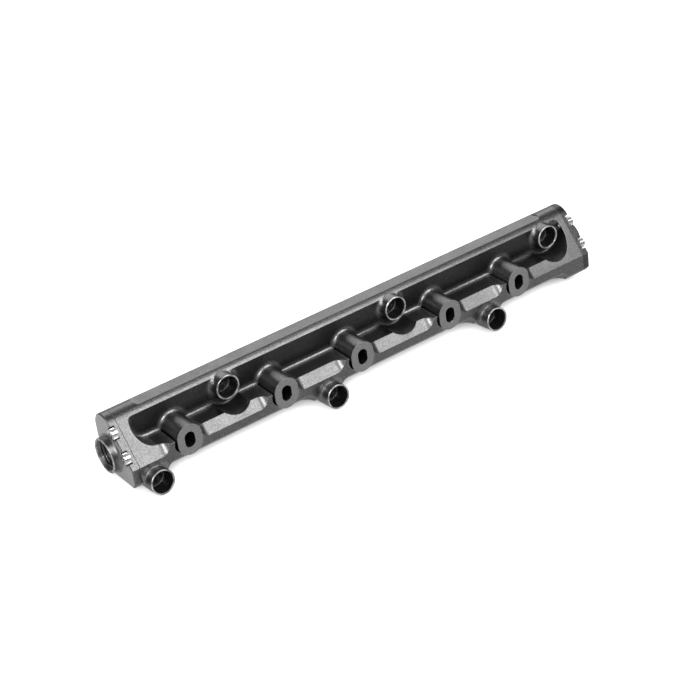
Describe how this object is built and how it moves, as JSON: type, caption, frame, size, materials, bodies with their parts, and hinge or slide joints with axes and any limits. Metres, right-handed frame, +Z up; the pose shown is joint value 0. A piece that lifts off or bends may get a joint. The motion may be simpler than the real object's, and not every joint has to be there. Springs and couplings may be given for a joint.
{
  "type": "fuel rail",
  "caption": "Milled fuel rail block with two staggered rows of injector cups, slotted mounting bosses and a bolted end cap with a threaded port at each end.",
  "frame": {"origin": "middle of the footprint of the bounding box, on the floor that the rail lies on", "axes": "+X along the rail to the right-hand cap, +Y from the mounting faces to the back, +Z up as the rail lies on its lower back edge and the heels of its lower cups, which leans its mounting plane back by 11.5 degrees"},
  "size_m": [0.3738, 0.0546, 0.0435],
  "materials": {
    "anodised_black": "satin black anodised",
    "screw_steel": "plain stainless",
    "seal_rubber": "matt black"
  },
  "bodies": {
    "root": {"rail_body": "anodised_black", "end_cap_left": "anodised_black", "cap_seal_left": "seal_rubber", "cap_screw_left_upper": "screw_steel", "cap_screw_left_front": "screw_steel", "cap_screw_left_lower": "screw_steel", "end_cap_right": "anodised_black", "cap_seal_right": "seal_rubber", "cap_screw_right_upper": "screw_steel", "cap_screw_right_front": "screw_steel", "cap_screw_right_lower": "screw_steel"}
  },
  "joints": []
}
